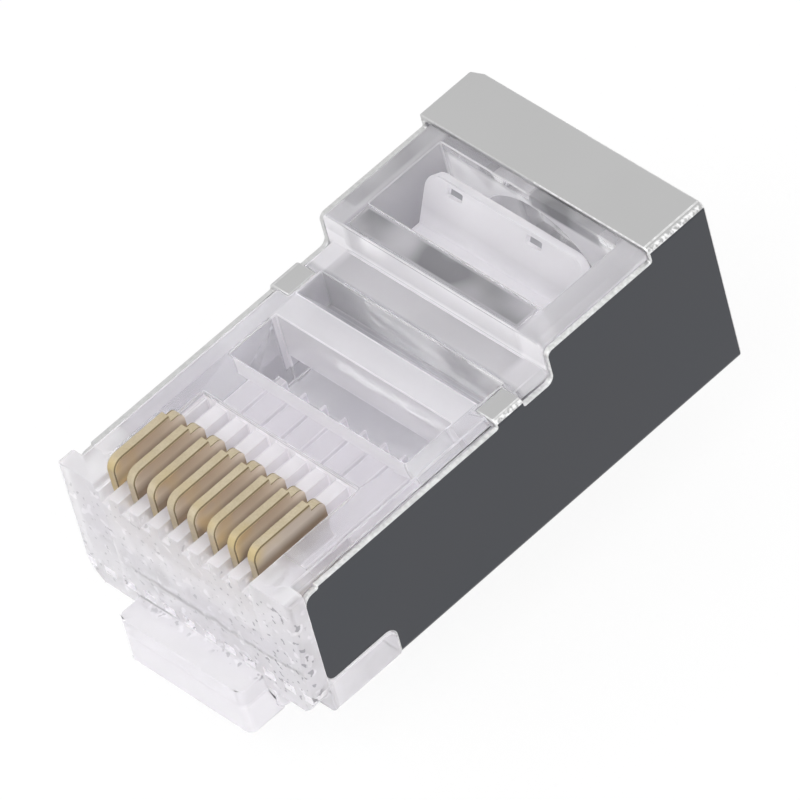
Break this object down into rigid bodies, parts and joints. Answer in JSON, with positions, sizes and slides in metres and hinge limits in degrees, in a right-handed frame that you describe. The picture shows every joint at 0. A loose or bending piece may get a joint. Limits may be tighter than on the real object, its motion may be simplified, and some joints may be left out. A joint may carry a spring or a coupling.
{
  "type": "rj45 modular plug",
  "caption": "Shielded modular data plug, not yet crimped: clear housing with raised gold contact blades, folded metal shield, springy latch and a swing-down cable clamp bar.",
  "frame": {"origin": "middle of the nose face, level with the latch-side surface of the body", "axes": "+X across the plug, +Y from the nose to the cable end, +Z towards the contact side"},
  "size_m": [0.0118, 0.0224, 0.0113],
  "materials": {
    "clear_plastic": "clear moulded polycarbonate",
    "shield_metal": "nickel-plated sheet, satin",
    "gold_contact": "gold-plated stamped blade"
  },
  "bodies": {
    "plug_body": {"housing": "clear_plastic", "shield": "shield_metal"},
    "latch": {"latch_lever": "clear_plastic"},
    "cable_clamp": {"strain_relief_bar": "clear_plastic"},
    "blade_1": {"contact_1": "gold_contact"},
    "blade_2": {"contact_2": "gold_contact"},
    "blade_3": {"contact_3": "gold_contact"},
    "blade_4": {"contact_4": "gold_contact"},
    "blade_5": {"contact_5": "gold_contact"},
    "blade_6": {"contact_6": "gold_contact"},
    "blade_7": {"contact_7": "gold_contact"},
    "blade_8": {"contact_8": "gold_contact"}
  },
  "joints": [
    {"name": "latch_flex", "type": "hinge", "parent": "plug_body", "child": "latch", "pos_m": [0, 0.00075, -0.0007], "axis": [1, 0, 0], "range_deg": [0, 9.3], "stiffness_Nm_per_rad": 0.3},
    {"name": "cable_clamp_swing", "type": "hinge", "parent": "plug_body", "child": "cable_clamp", "pos_m": [0, 0.01466, 0.00537], "axis": [-1, 0, 0], "range_deg": [0, 42]},
    {"name": "blade_1_crimp", "type": "slide", "parent": "plug_body", "child": "blade_1", "axis": [0, 0, -1], "range_m": [0, 0.00105]},
    {"name": "blade_2_crimp", "type": "slide", "parent": "plug_body", "child": "blade_2", "axis": [0, 0, -1], "range_m": [0, 0.00105]},
    {"name": "blade_3_crimp", "type": "slide", "parent": "plug_body", "child": "blade_3", "axis": [0, 0, -1], "range_m": [0, 0.00105]},
    {"name": "blade_4_crimp", "type": "slide", "parent": "plug_body", "child": "blade_4", "axis": [0, 0, -1], "range_m": [0, 0.00105]},
    {"name": "blade_5_crimp", "type": "slide", "parent": "plug_body", "child": "blade_5", "axis": [0, 0, -1], "range_m": [0, 0.00105]},
    {"name": "blade_6_crimp", "type": "slide", "parent": "plug_body", "child": "blade_6", "axis": [0, 0, -1], "range_m": [0, 0.00105]},
    {"name": "blade_7_crimp", "type": "slide", "parent": "plug_body", "child": "blade_7", "axis": [0, 0, -1], "range_m": [0, 0.00105]},
    {"name": "blade_8_crimp", "type": "slide", "parent": "plug_body", "child": "blade_8", "axis": [0, 0, -1], "range_m": [0, 0.00105]}
  ]
}
